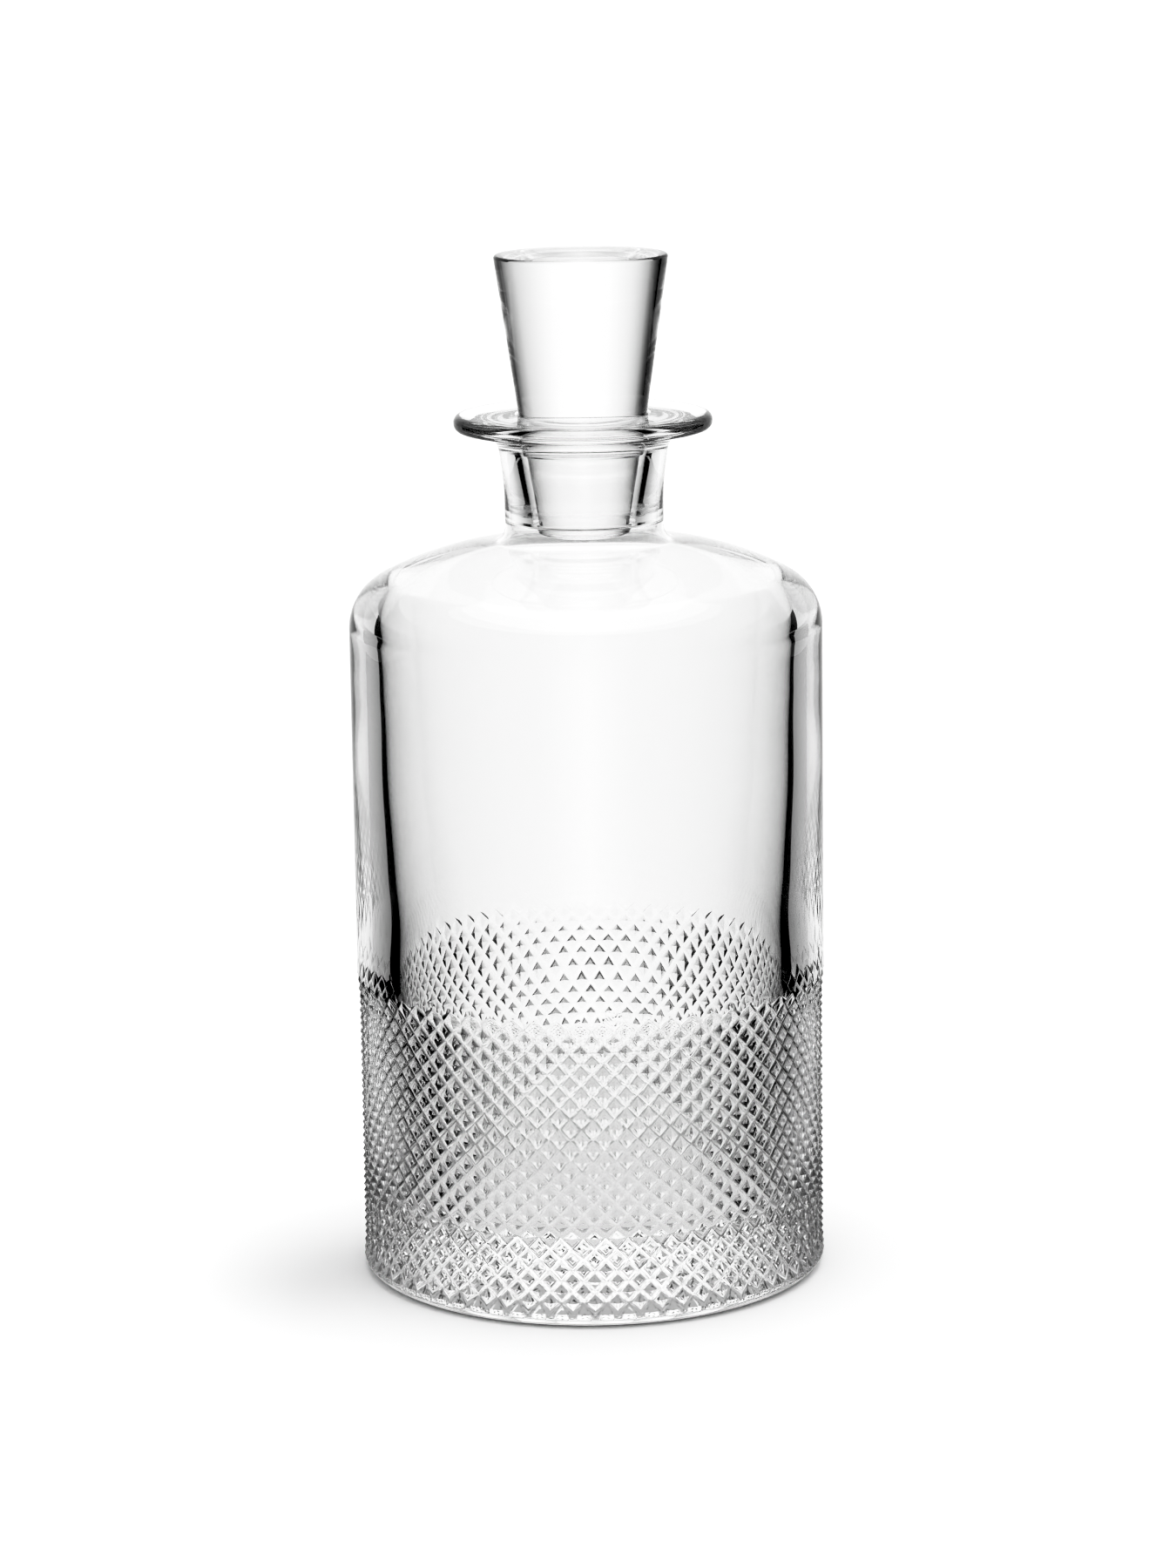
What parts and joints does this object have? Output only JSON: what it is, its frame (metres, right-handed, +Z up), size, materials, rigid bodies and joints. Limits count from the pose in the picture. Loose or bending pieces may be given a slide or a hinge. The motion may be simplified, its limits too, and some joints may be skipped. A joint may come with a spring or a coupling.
{
  "type": "cut glass decanter",
  "caption": "Round straight-sided spirits decanter of clear crystal with a diamond-cut lower band, a disc-rimmed neck and a loose solid cone stopper.",
  "frame": {"origin": "centre of the base, on the surface that the decanter stands on", "axes": "+Z up along the axis of the bottle and the stopper"},
  "size_m": [0.11, 0.11, 0.2393],
  "materials": {
    "bottle_crystal": "clear polished crystal, cut and polished facets on the lower band",
    "stopper_crystal": "clear polished solid crystal"
  },
  "bodies": {
    "bottle": {"bottle": "bottle_crystal"},
    "stopper": {"stopper": "stopper_crystal"}
  },
  "joints": [
    {"name": "stopper_lift", "type": "slide", "parent": "bottle", "child": "stopper", "axis": [0, 0, 1], "range_m": [0, 0.12]}
  ]
}
